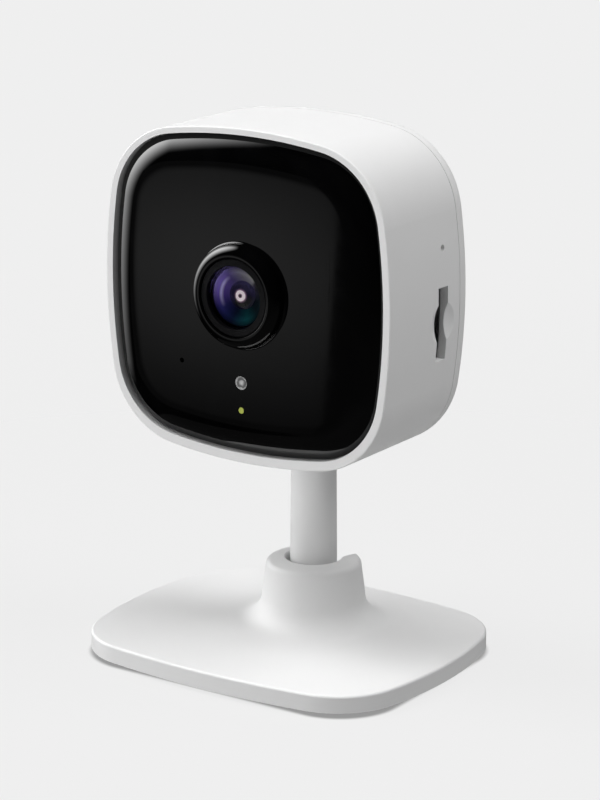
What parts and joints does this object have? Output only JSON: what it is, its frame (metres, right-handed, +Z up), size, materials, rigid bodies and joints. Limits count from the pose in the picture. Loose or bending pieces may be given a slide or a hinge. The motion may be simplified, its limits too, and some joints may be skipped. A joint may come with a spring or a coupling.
{
  "type": "indoor security camera",
  "caption": "Small indoor security camera: a rounded square head with a gloss black front, on a ball-jointed stem and weighted base.",
  "frame": {"origin": "middle of the base's footprint, on the table", "axes": "+Z up, the lens looks along -Y, the memory card slot is on the +X side"},
  "size_m": [0.0676, 0.0548, 0.0989],
  "materials": {
    "white_plastic": "satin",
    "grey_plastic": "satin",
    "natural_plastic": "satin",
    "black_plastic": "matt",
    "gloss_black": "gloss",
    "clear_plastic": "gloss",
    "status_lens": "gloss",
    "silicone": "matt",
    "foam": "matt",
    "ballast_steel": "satin",
    "bright_steel": "satin",
    "brass": "satin",
    "copper_coil": "satin",
    "board_green": "semi-gloss",
    "chip_black": "matt",
    "lens_glass": "gloss",
    "filter_glass": "gloss"
  },
  "bodies": {
    "stand": {"base_shell": "white_plastic", "base_plate": "grey_plastic", "foot_pad": "silicone", "ballast_plate": "ballast_steel", "clamp_plate": "bright_steel", "clamp_screws": "bright_steel", "clamp_spring": "bright_steel", "friction_cup": "natural_plastic"},
    "ball": {"friction_ball": "white_plastic"},
    "camera": {"stem": "white_plastic", "stem_plate": "bright_steel", "stem_screw": "bright_steel", "side_housing": "white_plastic", "back_cover": "white_plastic", "housing_screws": "bright_steel", "front_panel": "gloss_black", "panel_tape": "foam", "lens_bezel": "gloss_black", "lens_barrel": "black_plastic", "lens_front_glass": "lens_glass", "lens_baffle": "black_plastic", "lens_middle_glass": "lens_glass", "lens_rear_glass": "lens_glass", "lens_holder": "black_plastic", "filter_coil": "copper_coil", "image_sensor": "chip_black", "sensor_board": "board_green", "sensor_board_screws": "bright_steel", "board_spacers": "brass", "main_board": "board_green", "main_board_screws": "bright_steel", "shield_can": "bright_steel", "processor": "chip_black", "card_socket": "bright_steel", "reset_switch": "black_plastic", "power_jack": "black_plastic", "speaker": "chip_black", "speaker_gasket": "foam", "board_connector": "natural_plastic", "ribbon_cable": "natural_plastic", "wifi_antenna": "board_green", "led_board": "board_green", "led_board_screws": "bright_steel", "ir_leds": "clear_plastic", "microphone": "bright_steel", "microphone_boot": "silicone", "light_sensor": "chip_black", "status_led": "status_lens", "sensor_window": "clear_plastic", "light_pipe": "status_lens"},
    "night_filter": {"filter_frame": "black_plastic", "day_filter_glass": "filter_glass", "night_filter_glass": "lens_glass"},
    "reset": {"reset_button": "natural_plastic"},
    "card_push": {"card_slider": "natural_plastic"}
  },
  "joints": [
    {"name": "ball_tilt", "type": "hinge", "parent": "stand", "child": "ball", "pos_m": [0, 0.0082, 0.0094], "axis": [-1, 0, 0], "range_deg": [-5, 90]},
    {"name": "ball_swivel", "type": "hinge", "parent": "ball", "child": "camera", "pos_m": [0, 0.0082, 0.0094], "axis": [0, 0, 1], "continuous": true},
    {"name": "night_filter_slide", "type": "slide", "parent": "camera", "child": "night_filter", "axis": [-1, 0, 0], "range_m": [0, 0.0064]},
    {"name": "reset_press", "type": "slide", "parent": "camera", "child": "reset", "axis": [-1, 0, 0], "range_m": [0, 0.0003], "stiffness_N_per_m": 600},
    {"name": "card_push_slide", "type": "slide", "parent": "camera", "child": "card_push", "axis": [-1, 0, 0], "range_m": [0, 0.001], "stiffness_N_per_m": 400}
  ]
}
